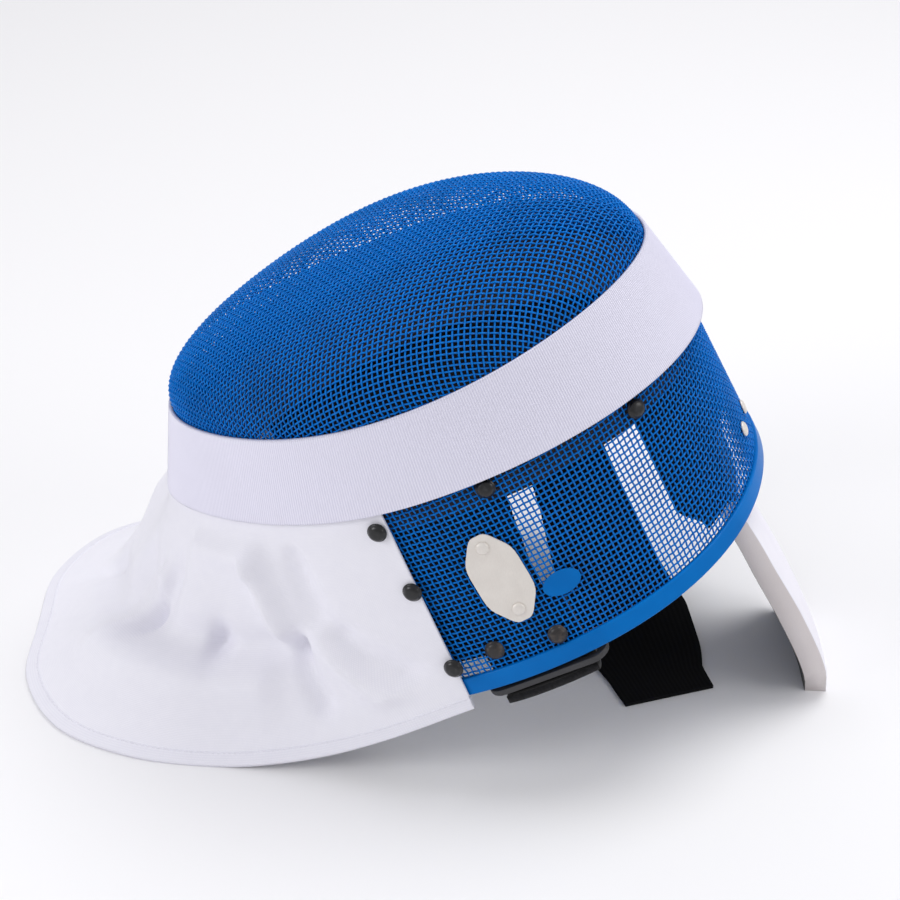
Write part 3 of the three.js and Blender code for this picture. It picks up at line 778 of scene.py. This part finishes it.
def makeTrim(material):
    section = roundedSection(0.5, 1.0, 0.02, 9)
    section[:, 1] *= trimSizes["wall"] / 2
    columns = trimSizes["ribs"] * 4
    angle = np.linspace(0, 2 * math.pi, columns, endpoint=False)[:, None]
    up = section[None, :, 0] + 0.5
    rib = trimSizes["ribDepth"] * np.cos(np.arange(columns) * math.pi / 2)[:, None]
    lift = mix(trimSizes["lowerLift"], trimSizes["upperLift"], up) + trimSizes["wall"] / 2
    out = lift + section[None, :, 1] + rib * (section[None, :, 1] > 0)
    grid = toFloor(wallPoint(angle + 0 * up, 1 + up + 0 * angle, out))
    piece = sweptPiece("trimBand", grid, material, trimSizes["around"], 112, isRing=True)
    finishPiece(piece, "ribbed_cloth", "trim_band")


# bib

bib = {
    "wall": 1.6, "lift": 0.6, "rimLift": 1.8, "topLevel": 1.08, "hang": 36.0, "spread": 46.0, "spreadRise": 20.0,
    "cornerDrop": 0.06, "edgeAtTrim": 98.0, "edgeAtRim": 101.5, "round": 330.0, "drop": 130.0,
    "columns": 300, "rows": 60, "hemWidth": 8.0,
}
hemLine = [  # turn, x, y, z
    (0, -219, 0, 0.9), (0.13, -217, 48, 0.9), (0.275, -193, 90, 0.9), (0.42, -150, 112, 0.9),
    (0.57, -98, 118, 1.2), (0.71, -50, 119, 10), (0.85, -5, 120, 28), (1, 38, 121, 54),
]
folds = [  # from turn, down, to turn, down, width, lift
    (0.1, 0.66, -0.24, 0.54, 11, -9), (-0.24, 0.54, -0.5, 0.565, 11, -13), (-0.5, 0.565, -0.72, 0.58, 9, -10),
    (-0.2, 0.67, -0.62, 0.69, 16, 7), (-0.1, 0.45, -0.3, 0.4, 17, -12), (-0.22, 0.4, -0.24, 0.41, 8, 8),
    (-0.4, 0.18, -0.62, 0.2, 10, 7), (-0.62, 0.2, -0.7, 0.5, 10, 11), (-0.74, 0.2, -0.8, 0.52, 9, -6),
    (-0.73, 0.59, -0.76, 0.79, 7, -7), (-0.83, 0.56, -0.88, 0.76, 7, -7), (-0.79, 0.55, -0.86, 0.81, 7, 7),
    (0.24, 0.36, 0.58, 0.38, 26, 12), (0.3, 0.24, 0.62, 0.26, 13, 8), (0.1, 0.75, 0.62, 0.72, 12, -4),
    (0.76, 0.42, 0.86, 0.8, 9, -4),
]


def hemPoint(turn):
    reach = np.abs(turn)
    turns = np.array([place[0] for place in hemLine])
    shares = np.interp(reach, turns, np.linspace(0, 1, len(turns)))
    point = splinePoints([place[1:] for place in hemLine], shares)
    return point * np.stack([0 * reach + 1, np.where(turn < 0, -1, 1), 0 * reach + 1], -1) - (middleShift, 0, 0)


def foldLift(turn, down):
    here = np.stack([turn * bib["round"], down * bib["drop"]], -1)
    lift = 0 * turn
    for fold in folds:
        start = np.array([fold[0] * bib["round"], fold[1] * bib["drop"]])
        stroke = np.array([fold[2] * bib["round"], fold[3] * bib["drop"]]) - start
        share = np.clip((here - start) @ stroke / (stroke @ stroke), 0, 1)
        away = np.linalg.norm(here - start - share[..., None] * stroke, axis=-1)
        lift = lift + fold[5] * np.exp(-((away / fold[4]) ** 2))
    return lift * smooth(0.1, 0.26, down) * smooth(1, 0.88, down) * smooth(1, 0.93, np.abs(turn))


def bibBase(turn, down):
    side = np.where(turn < 0, -1.0, 1.0)
    reach = np.abs(turn)
    atTrim = side * mix(math.pi, math.radians(bib["edgeAtTrim"]), reach)
    topLevel = np.full(turn.shape, bib["topLevel"])
    top = toFloor(wallPoint(atTrim, topLevel, np.full(turn.shape, bib["lift"] + bib["wall"] / 2)))
    hem = hemPoint(turn)
    fall = unit(top - toFloor(wallPoint(atTrim, topLevel + 0.1, np.full(turn.shape, bib["lift"]))))
    level = np.array([1.0, 1.0, 0.0])
    hang = top + fall * bib["hang"]
    spread = hem + unit((top - hem) * level) * bib["spread"]
    spread[..., 2] = hem[..., 2] + bib["spreadRise"]
    straight = smooth(0.72, 1, reach)[..., None]
    hang = mix(hang, mix(top, hem, 1 / 3), straight)
    spread = mix(spread, mix(top, hem, 2 / 3), straight)
    d = down[..., None]
    skirt = (1 - d) ** 3 * top + 3 * (1 - d) ** 2 * d * hang + 3 * (1 - d) * d ** 2 * spread + d ** 3 * hem
    onMesh = smooth(0.84, 0.965, reach)[..., None]
    atRim = side * math.radians(bib["edgeAtRim"])
    lift = mix(bib["lift"], bib["rimLift"], smooth(0, 0.5, down)) + bib["wall"] / 2
    edge = toFloor(wallPoint(mix(atTrim, atRim, down), mix(bib["topLevel"], -bib["cornerDrop"], down), lift))
    return mix(skirt, edge, onMesh)


def bibNormal(turn, down):
    step = 0.004
    t, d = np.clip(turn, step - 1, 1 - step), np.clip(down, step, 1 - step)
    across = bibBase(t + step, d) - bibBase(t - step, d)
    downward = bibBase(t, d + step) - bibBase(t, d - step)
    return unit(np.cross(across, downward))


def bibPoint(turn, down, out):
    turn, down, out = np.broadcast_arrays(*(np.asarray(v, float) for v in (turn, down, out)))
    point = bibBase(turn, down) + bibNormal(turn, down) * (out + foldLift(turn, down))[..., None]
    point[..., 2] = np.maximum(point[..., 2], 0)
    return point


def makeBib(material, bindingMaterial, threadTree):
    rows = np.linspace(1, 0, bib["rows"] + 1)
    turn = np.linspace(1, -1, bib["columns"] + 1)[:, None]
    down = np.concatenate([rows, rows[::-1]])[None, :]
    out = np.concatenate([np.full(len(rows), 1.0), np.full(len(rows), -1.0)])[None, :] * bib["wall"] / 2
    piece = sweptPiece("bib", bibPoint(turn, down, out), material, 2 * bib["round"], 2 * bib["drop"])
    finishPiece(piece, "bib_cloth", "bib")
    # a folded tape binds the hem
    section = roundedSection(bib["hemWidth"] / 2, bib["wall"] / 2 + 0.45, bib["wall"] / 2 + 0.4, 4)
    down = 1 - (section[None, :, 0] + bib["hemWidth"] / 2 - 0.4) / bib["drop"]
    turn = np.linspace(1, -1, 2 * bib["columns"] + 1)[:, None]
    grid = bibPoint(turn, np.minimum(down, 1), section[None, :, 1])
    binding = sweptPiece("hemBinding", grid, bindingMaterial, 2 * bib["round"], 20)
    finishPiece(binding, "bib_cloth")
    # one row of stitches along the tape
    turn = np.linspace(0.985, -0.985, 900)
    down = np.full(900, 1 - (bib["hemWidth"] - 1.6) / bib["drop"])
    line = bibPoint(turn, down, np.full(900, bib["wall"] / 2 + 0.5))
    stitches = chainPiece("hemStitches", [line], {"outward": [bibNormal(turn, down)]})
    growPiece(stitches, threadTree, {"Pitch": 3.0 * mm, "Length": 2.3 * mm, "Width": 0.7 * mm})
    finishPiece(stitches, "bib_cloth")


# padding inside

pads = {  # levels run from 0 at the rim to 1 at the trim; angles are in degrees from the crown
    "back": 3.0, "seam": 0.6, "top": 0.87, "ringLow": 0.855, "ringHigh": 1.62, "ringThick": 8,
    "crownTop": 35, "crownEnd": 41.5, "crownMiddleFoot": 0.46, "crownEndFoot": 0.14, "crownThick": 10,
    "farFront": 47, "nearFrontLow": 80, "nearFrontHigh": 74.5, "cheekBack": 138, "cheekThick": 14,
    "farFoot": 0.42, "nearFoot": 0.13, "footStep": 6.5,
}


def wallPad(name, angles, levels, thickness, material, node, isRing=False, step=0.0):
    # a pillow on the wall's inner side: angles and levels are grids over the pad
    u = np.linspace(0, 1, angles.shape[0])[:, None]
    v = np.linspace(0, 1, angles.shape[1])[None, :]
    rise = np.sin(math.pi * v) ** 0.5 if isRing else (np.sin(math.pi * u) * np.sin(math.pi * v)) ** 0.4
    back = -pads["back"] - step * smooth(0.5, 0.42, levels)
    outer = wallPoint(angles, levels, back - pads["seam"] * (1 - rise))
    inner = wallPoint(angles, levels, back - pads["seam"] - (thickness - pads["seam"]) * rise)
    grid = toFloor(np.concatenate([outer, inner[:, ::-1]], 1))
    piece = sweptPiece(name, grid, material, 300, 160, isRing)
    finishPiece(piece, "black_cloth", node)


def makePads(material, bindingMaterial):
    around = np.linspace(0, 2 * math.pi, 240, endpoint=False)[:, None]
    up = np.linspace(pads["ringLow"], pads["ringHigh"], 16)[None, :]
    angles, levels = around + 0 * up, up + 0 * around
    # the ring takes the band cloth painted dark grey-brown: painted shade
    wallPad("paddingRing", angles, levels, pads["ringThick"], bindingMaterial, "padding_ring", True)
    u, v = np.linspace(-1, 1, 60)[:, None], np.linspace(0, 1, 24)[None, :]
    angles = u * np.radians(mix(pads["crownTop"], pads["crownEnd"], smooth(0, 0.3, v)))
    # the middle of the crown pad ends above the tongue
    bottom = mix(pads["crownMiddleFoot"], pads["crownEndFoot"], smooth(18, 24, np.degrees(np.abs(angles))))
    wallPad("crownPad", angles, mix(bottom, pads["top"], v), pads["crownThick"], material, "crown_pad")
    for name, node, side in (("cheekPadLeft", "cheek_pad_left", -1), ("cheekPadRight", "cheek_pad_right", 1)):
        far = side > 0
        front = pads["farFront"] + 0 * v if far else mix(pads["nearFrontLow"], pads["nearFrontHigh"], v)
        angles = side * np.radians(mix(front, pads["cheekBack"], 0.5 + 0.5 * u * side))
        levels = mix(pads["farFoot" if far else "nearFoot"], pads["top"], v) + 0 * angles
        step = 0.0 if far else pads["footStep"]
        wallPad(name, angles, levels, pads["cheekThick"], material, node, step=step)


# back tongue

tongue = {
    "line": [  # x, z, thickness
        (153, 164, 5), (156.5, 145, 7), (164, 121, 12), (178, 90, 13), (196.5, 55, 14), (210, 25, 14),
        (215.5, 7, 13.5),
    ],
    "halfWidth": 41.0, "footNarrowing": 5, "topNarrowing": 8, "hollow": 3.0, "twist": 0.19, "rows": 90,
    "pocket": 127.0,
}


def tonguePlace(share):
    # middle line, outward direction, thickness and half width at shares of the way down
    rows = tongue["line"]
    line = [(x - middleShift, 0, z) for x, z, _ in rows]
    middle = splinePoints(line, share)
    tangent = lineDirection(line, share)
    outward = np.stack([-tangent[..., 2], 0 * share, tangent[..., 0]], -1)
    thickness = np.interp(share, np.linspace(0, 1, len(rows)), [row[2] for row in rows])
    atFoot, atTop = smooth(0.9, 1, share), smooth(0.2, 0, share)
    halfWidth = tongue["halfWidth"] - tongue["footNarrowing"] * atFoot - tongue["topNarrowing"] * atTop
    return middle, outward, thickness, halfWidth


def makeTongue(outerMaterial, shadedSideMaterial, liningMaterial):
    share = np.linspace(0, 1, tongue["rows"] + 1)[::-1][:, None]
    section = roundedSection(1.0, 0.5, 0.03, 14)
    across, through = section[None, :, 0], section[None, :, 1]
    middle, outward, thickness, halfWidth = tonguePlace(share + 0 * across)
    plump = 1 - 0.08 * np.abs(across) ** 6
    grid = middle + outward * (thickness * plump * through)[..., None]
    grid[..., 1] = -halfWidth * across
    twist = tongue["twist"] * grid[..., 1] * smooth(0.1, 0.5, share)
    grid[..., 0] -= tongue["hollow"] * across ** 2 + twist
    grid[0, :, 2] = 0
    piece = sweptPiece("tongue", grid, shadedSideMaterial, 190, 160)
    piece.data.materials.append(outerMaterial)
    piece.data.materials.append(liningMaterial)
    # white outer skin, beige sides a shade darker as painted shade, black lining, and black again where the upper
    # end sits inside the head
    skinEdge = 0.4
    for face in piece.data.polygons:
        corners = list(face.vertices)
        outward = np.mean(section[np.array(corners) % len(section), 1])
        height = np.mean([piece.data.vertices[corner].co.z for corner in corners])
        isLining = height > tongue["pocket"] * mm or outward < -skinEdge
        face.material_index = 2 if isLining else 1 if outward > skinEdge else 0
    finishPiece(piece, "tongue_leather", "tongue")


# strap, rings

strap = {
    "line": [  # x, y, z, width
        (77, 100, 60, 48), (87, 80, 45, 50), (101, 46, 25, 57), (117.5, 14, 9, 68), (126.5, -10, 2.2, 63),
        (132, -28, 1.1, 54), (139, -46, 1.1, 52),
    ],
    "wall": 2.0,
}


def makeStrap(material):
    share = np.linspace(0, 1, 90)[::-1][:, None]
    section = roundedSection(1.0, 1.0, 0.05, 12)
    across, through = section[None, :, 0], section[None, :, 1]
    line = [(x - middleShift, y, z) for x, y, z, _ in strap["line"]]
    where = share + 0 * across
    middle = splinePoints(line, where)
    tangent = lineDirection(line, where)
    level = unit(np.stack([-tangent[..., 1], tangent[..., 0], 0 * where], -1))
    tilt = math.radians(wall["tilt"])
    alongRim = np.array([math.cos(tilt), 0, math.sin(tilt)])
    sideways = mix(alongRim, level, smooth(0, 0.6, where)[..., None])
    sideways = unit(sideways - tangent * np.sum(sideways * tangent, -1, keepdims=True))
    width = np.interp(where, np.linspace(0, 1, len(line)), [row[3] for row in strap["line"]])
    upward = np.cross(sideways, tangent)
    outOfLine = upward * (strap["wall"] / 2 * through)[..., None]
    grid = middle + outOfLine + sideways * (width / 2 * across)[..., None]
    grid[..., 2] = np.maximum(grid[..., 2], 0.05)
    piece = sweptPiece("strap", grid, material, 190, 108)
    finishPiece(piece, "strap_webbing", "strap")


tab = {
    "line": [(-5.2, 40), (-5.6, 14), (-8, 1), (-10, -6), (-9, -10.5), (-5.5, -11.8), (-0.5, -10.6)],
    "width": 52.0, "wall": 4.0, "x": -127.0,
}


def makeTab(name, node, side, material):
    across = np.linspace(0.5, -0.5, 41)[:, None] * side
    section = roundedSection(0.5, 1.0, 0.03, 24)
    share, through = 1 - (section[None, :, 0] + 0.5), section[None, :, 1]
    where = share + 0 * across
    line = [(0, out, z) for out, z in tab["line"]]
    middle = splinePoints(line, where)
    tangent = lineDirection(line, where)
    outward = np.stack([0 * where, -tangent[..., 2], tangent[..., 1]], -1)
    offset = middle + outward * (tab["wall"] / 2 * through)[..., None]
    x = tab["x"] + tab["width"] * across + 0 * where
    angle = np.arccos((x - wall["rings"][0]["widest"]) / -wall["rings"][0]["widest"])
    lean = wallBase(angle, np.maximum(offset[..., 2], 0) / 110)
    grid = toFloor(np.stack([x, side * (lean[..., 1] + offset[..., 1]), offset[..., 2]], -1))
    piece = sweptPiece(name, grid, material, 50, 130)
    finishPiece(piece, "black_cloth", node)


# fastenings

snaps = [  # node, angle, height, lift
    ("bib_snap_upper", 100.6, 104, 4), ("bib_snap_middle", 100.4, 67, 4.2), ("bib_snap_lower", 100.6, 20, 5.6),
    ("trim_snap_front", 77.3, 104, 0.9), ("trim_snap_crown", 40.5, 96, 0.4),
    ("rim_snap_front", 92.9, 21, 0.4), ("rim_snap_back", 79.6, 16.4, 0.4),
]
snapProfile = [  # radius, height
    (5.2, 0), (5.3, 0.4), (5.05, 0.8), (4.6, 1.05), (4.35, 1.5), (3.9, 2.05), (3.1, 2.5), (2.0, 2.72), (0.9, 2.8),
]
rivetProfile = [(1.0, 0), (1.02, 0.08), (0.97, 0.2), (0.85, 0.31), (0.64, 0.4), (0.38, 0.45), (0.15, 0.46)]


def wallPlaces(places):
    # points and outward directions for (angle in degrees, height, lift)
    angle = np.radians([place[0] for place in places])
    level = np.array([place[1] for place in places]) / wallHeight(angle)
    lift = np.array([place[2] for place in places], float)
    return toFloor(wallPoint(angle, level, lift)), toFloor(wallNormal(angle, level), True)


def makeHeads(name, template, points, normals, size, material, slot, nodes):
    piece = newPiece(name, points, [])
    outward = piece.data.attributes.new("outward", "FLOAT_VECTOR", "POINT")
    outward.data.foreach_set("vector", np.asarray(normals, np.float32).ravel())
    growPiece(piece, fastenerTree(template, material), {"Size": size})
    finishPiece(piece, slot, *nodes)


def makeSnaps(blackMaterial, dullMaterial):
    template = lathedHead("snapHead", snapProfile, 28)
    for group, chosen, material in (
        ("bibSnaps", snaps[:3], blackMaterial), ("trimSnaps", snaps[3:5], blackMaterial),
        ("rimSnaps", snaps[5:], dullMaterial),
    ):
        places, nodes = [], []
        for side, sideName in ((-1, "left"), (1, "right")):
            places += [(side * angle, height, lift) for _, angle, height, lift in chosen]
            nodes += [f"{name}_{sideName}" for name, *_ in chosen]
        points, normals = wallPlaces(places)
        makeHeads(group, template, points, normals, 1.0, material, "black_enamel", nodes)
    bpy.data.objects.remove(template)


def cadCentre(node):
    low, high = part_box(node)
    return (np.array(low) + np.array(high)) / 2 / mm


def makeRivets(material):
    template = lathedHead("rivetHead", rivetProfile, 28)
    sunk = 0.23
    for name, nodes, radius, places in (
        ("plateRivets", ("plate_rivet_upper", "plate_rivet_lower"), 3.5, [(-84, 57, 0), (-84, 57, 0)]),
        ("crownRivets", ("crown_rivet_left", "crown_rivet_right"), 4.0, [(-5, 27, 0), (5, 27, 0)]),
    ):
        _, normals = wallPlaces(places)
        points = np.array([cadCentre(node) for node in nodes]) - normals * radius * sunk
        makeHeads(name, template, points, normals, radius, material, "bare_metal", nodes)
    bpy.data.objects.remove(template)


def softenedCopy(name, node, bevel, material, slot):
    # the frame's own solid with its vertices joined and its edges rounded
    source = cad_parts[node].data
    shape = bmesh.new()
    shape.from_mesh(source)
    bmesh.ops.remove_doubles(shape, verts=shape.verts, dist=1e-5)
    bmesh.ops.dissolve_limit(shape, angle_limit=math.radians(1), verts=shape.verts, edges=shape.edges)
    mesh = bpy.data.meshes.new(name)
    shape.to_mesh(mesh)
    shape.free()
    mesh.materials.clear()
    mesh.materials.append(material)
    piece = linked(name, mesh)
    edge = piece.modifiers.new("edge", "BEVEL")
    edge.width, edge.segments, edge.limit_method, edge.angle_limit = bevel * mm, 3, "ANGLE", math.radians(40)
    edge.harden_normals = True
    return finishPiece(piece, slot, node)


# build

def build():
    setStudio()
    print("studio set")
    blueWire, blueEnamel = wireFinish(), enamelFinish()
    ribbed = ribbedFinish(trimSizes["around"] / trimSizes["ribs"])
    cloth, binding = bibFinish(), bibFinish("bindingCloth", (241, 240, 247), (229, 228, 238))
    blackPad = blackFinish("blackCloth")
    # the padding ring's band is white cloth, painted dark grey-brown here as painted shade for the shade under the
    # trim
    bindingInPaintedShade = blackFinish("bindingInPaintedShade", (92, 84, 82), (58, 54, 56))
    webbing, plastic = webbingFinish(), plasticFinish()
    # a darker beige copy of the tongue's white leather for its side walls: painted shade
    sideLeatherInShade = leatherFinish("tongueSidePaintedShade", (226, 220, 220), (213, 205, 204))
    whiteLeather = leatherFinish("tongueSkin", (246, 244, 250), (230, 228, 238))
    blackSnap = snapFinish("blackEnamel", (44, 44, 46), (16, 16, 18), 0.28)
    dullSnap = snapFinish("dullEnamel", (72, 62, 56), (36, 32, 32), 0.42)
    metal = metalFinish("bareMetal", (238, 233, 226), (214, 207, 200), 0.38)
    print("finishes mixed")
    tree = wireTree(blueWire)
    makeFaceMesh(tree)
    makeSideMesh(tree)
    print("wire woven")
    makeRim(blueEnamel)
    makeTrim(ribbed)
    print("rim and trim")
    makeBib(cloth, binding, stitchTree(binding))
    print("bib sewn")
    makePads(blackPad, bindingInPaintedShade)
    makeTongue(whiteLeather, sideLeatherInShade, blackPad)
    makeStrap(webbing)
    makeTab("ringWebbingLeft", "ring_webbing_left", -1, blackPad)
    makeTab("ringWebbingRight", "ring_webbing_right", 1, blackPad)
    print("pads, tongue and straps")
    makeSnaps(blackSnap, dullSnap)
    makeRivets(metal)
    softenedCopy("sidePlate", "side_plate", 0.3, metal, "bare_metal")
    softenedCopy("ovalPatch", "oval_patch", 0.3, blueEnamel, "blue_enamel")
    for name, node in (("strapRingLeft", "strap_ring_left"), ("strapRingRight", "strap_ring_right")):
        softenedCopy(name, node, 0.8, plastic, "grey_plastic")
    print("fastenings")


build()
